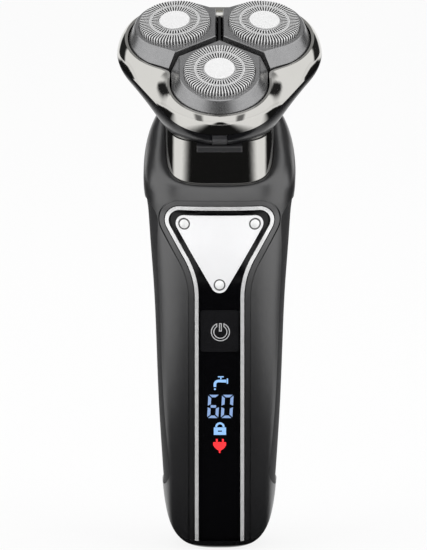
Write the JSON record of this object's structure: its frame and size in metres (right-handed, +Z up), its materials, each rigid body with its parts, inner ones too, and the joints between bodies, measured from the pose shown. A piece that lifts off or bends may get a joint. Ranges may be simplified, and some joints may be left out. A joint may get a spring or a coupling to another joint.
{
  "type": "electric shaver",
  "caption": "Upright rotary shaver: slim rounded handle with a triangular plate, a lit window and a power key, and a tilted head of pivoting pods that hinges open.",
  "frame": {"origin": "centre of the base's foot, on the surface that the handle stands on", "axes": "+Z up along the handle, -Y towards the front with the power key, +X to the right seen from the front"},
  "size_m": [0.0622, 0.0567, 0.1683],
  "materials": {
    "shell": "satin dark gunmetal plastic",
    "grip": "matt black soft-touch rubber",
    "trim": "bright chrome plating",
    "gloss_black": "gloss black",
    "plate": "polished silver plate",
    "rivet": "polished",
    "neck": "dark polished chrome",
    "shroud": "polished chrome",
    "charcoal": "satin charcoal plastic",
    "pod": "satin grey metallic",
    "steel": "ground steel",
    "bright_steel": "bright satin",
    "cutter_steel": "ground cutter steel",
    "screw_steel": "zinc plated",
    "white_plastic": "moulded acetal",
    "inner_plastic": "moulded plastic",
    "board": "green solder mask",
    "display": "dark diffuser",
    "cell": "shrink sleeve",
    "nickel": "nickel strip",
    "seal": "matt black rubber",
    "brass": "sintered bronze"
  },
  "bodies": {
    "handle": {"front_shell": "shell", "rear_shell": "shell", "left_grip": "grip", "right_grip": "grip", "front_trim": "trim", "front_window": "gloss_black", "badge_plate": "plate", "badge_rivets": "rivet", "power_switch": "inner_plastic", "circuit_board": "board", "board_screws": "screw_steel", "display_module": "display", "battery_cell": "cell", "battery_contacts": "nickel", "inner_frame": "inner_plastic", "base_cap": "charcoal", "charging_socket": "bright_steel", "base_screws": "screw_steel", "neck_cover": "neck", "neck_seal": "seal", "head_base": "charcoal", "head_screws": "screw_steel", "motor_can": "steel", "motor_plate": "steel", "motor_screws": "screw_steel", "gear_cover": "inner_plastic", "gear_cover_screws": "screw_steel", "spindle_bushes": "brass", "hinge_pin": "bright_steel"},
    "power_key": {"power_button": "gloss_black", "switch_plunger": "white_plastic"},
    "release_key": {"release_button": "charcoal"},
    "motor_rotor": {"motor_shaft": "bright_steel", "drive_pinion": "brass"},
    "shaving_unit": {"head_shroud": "shroud", "cutter_carrier": "charcoal", "pod_pivot_pins": "bright_steel"},
    "spindle_front": {"spindle_gear_front": "white_plastic", "spindle_shaft_front": "bright_steel"},
    "pod_front": {"pod_frame_front": "pod"},
    "guard_front": {"cutter_guard_front": "steel", "guard_centre_front": "bright_steel"},
    "cutter_front": {"inner_cutter_front": "cutter_steel"},
    "spindle_right": {"spindle_gear_right": "white_plastic", "spindle_shaft_right": "bright_steel"},
    "pod_right": {"pod_frame_right": "pod"},
    "guard_right": {"cutter_guard_right": "steel", "guard_centre_right": "bright_steel"},
    "cutter_right": {"inner_cutter_right": "cutter_steel"},
    "spindle_left": {"spindle_gear_left": "white_plastic", "spindle_shaft_left": "bright_steel"},
    "pod_left": {"pod_frame_left": "pod"},
    "guard_left": {"cutter_guard_left": "steel", "guard_centre_left": "bright_steel"},
    "cutter_left": {"inner_cutter_left": "cutter_steel"}
  },
  "joints": [
    {"name": "power_press", "type": "slide", "parent": "handle", "child": "power_key", "axis": [0, 1, 0], "range_m": [0, 0.0007], "stiffness_N_per_m": 1500, "springref_m": -0.0003},
    {"name": "release_press", "type": "slide", "parent": "handle", "child": "release_key", "axis": [0, 0.9063, 0.4226], "range_m": [0, 0.0012], "stiffness_N_per_m": 1200, "springref_m": -0.0003},
    {"name": "motor_turn", "type": "hinge", "parent": "handle", "child": "motor_rotor", "pos_m": [0, -0.00055, 0.14277], "axis": [0, -0.4226, 0.9063], "continuous": true},
    {"name": "shaving_unit_open", "type": "hinge", "parent": "handle", "child": "shaving_unit", "pos_m": [0, 0.02025, 0.16064], "axis": [-1, 0, 0], "range_deg": [0, 95]},
    {"name": "spindle_turn_front", "type": "hinge", "parent": "handle", "child": "spindle_front", "pos_m": [0, -0.01541, 0.13915], "axis": [0, -0.4226, 0.9063], "continuous": true},
    {"name": "pod_tilt_front", "type": "hinge", "parent": "shaving_unit", "child": "pod_front", "pos_m": [0, -0.01866, 0.14613], "axis": [1, 0, 0], "range_deg": [-5, 2], "stiffness_Nm_per_rad": 0.02},
    {"name": "guard_float_front", "type": "slide", "parent": "pod_front", "child": "guard_front", "axis": [0, -0.5, 0.866], "range_m": [-0.001, 0], "stiffness_N_per_m": 900, "springref_m": 0.0003},
    {"name": "cutter_turn_front", "type": "hinge", "parent": "guard_front", "child": "cutter_front", "pos_m": [0, -0.01866, 0.14613], "axis": [0, -0.5, 0.866], "continuous": true},
    {"name": "spindle_turn_right", "type": "hinge", "parent": "handle", "child": "spindle_right", "pos_m": [0.01299, 0.00498, 0.14866], "axis": [0, -0.4226, 0.9063], "continuous": true},
    {"name": "pod_tilt_right", "type": "hinge", "parent": "shaving_unit", "child": "pod_right", "pos_m": [0.01299, 0.00173, 0.15564], "axis": [-0.5, 0.7849, 0.366], "range_deg": [-5, 2], "stiffness_Nm_per_rad": 0.02},
    {"name": "guard_float_right", "type": "slide", "parent": "pod_right", "child": "guard_right", "axis": [0.0755, -0.3815, 0.9213], "range_m": [-0.001, 0], "stiffness_N_per_m": 900, "springref_m": 0.0003},
    {"name": "cutter_turn_right", "type": "hinge", "parent": "guard_right", "child": "cutter_right", "pos_m": [0.01299, 0.00173, 0.15564], "axis": [0.0755, -0.3815, 0.9213], "continuous": true},
    {"name": "spindle_turn_left", "type": "hinge", "parent": "handle", "child": "spindle_left", "pos_m": [-0.01299, 0.00498, 0.14866], "axis": [0, -0.4226, 0.9063], "continuous": true},
    {"name": "pod_tilt_left", "type": "hinge", "parent": "shaving_unit", "child": "pod_left", "pos_m": [-0.01299, 0.00173, 0.15564], "axis": [-0.5, -0.7849, -0.366], "range_deg": [-5, 2], "stiffness_Nm_per_rad": 0.02},
    {"name": "guard_float_left", "type": "slide", "parent": "pod_left", "child": "guard_left", "axis": [-0.0755, -0.3815, 0.9213], "range_m": [-0.001, 0], "stiffness_N_per_m": 900, "springref_m": 0.0003},
    {"name": "cutter_turn_left", "type": "hinge", "parent": "guard_left", "child": "cutter_left", "pos_m": [-0.01299, 0.00173, 0.15564], "axis": [-0.0755, -0.3815, 0.9213], "continuous": true}
  ],
  "couplings": [
    {"joint": "cutter_turn_front", "follows": "motor_turn", "ratio": -0.33333},
    {"joint": "spindle_turn_front", "follows": "motor_turn", "ratio": -0.33333},
    {"joint": "cutter_turn_right", "follows": "motor_turn", "ratio": -0.33333},
    {"joint": "spindle_turn_right", "follows": "motor_turn", "ratio": -0.33333},
    {"joint": "cutter_turn_left", "follows": "motor_turn", "ratio": -0.33333},
    {"joint": "spindle_turn_left", "follows": "motor_turn", "ratio": -0.33333}
  ]
}
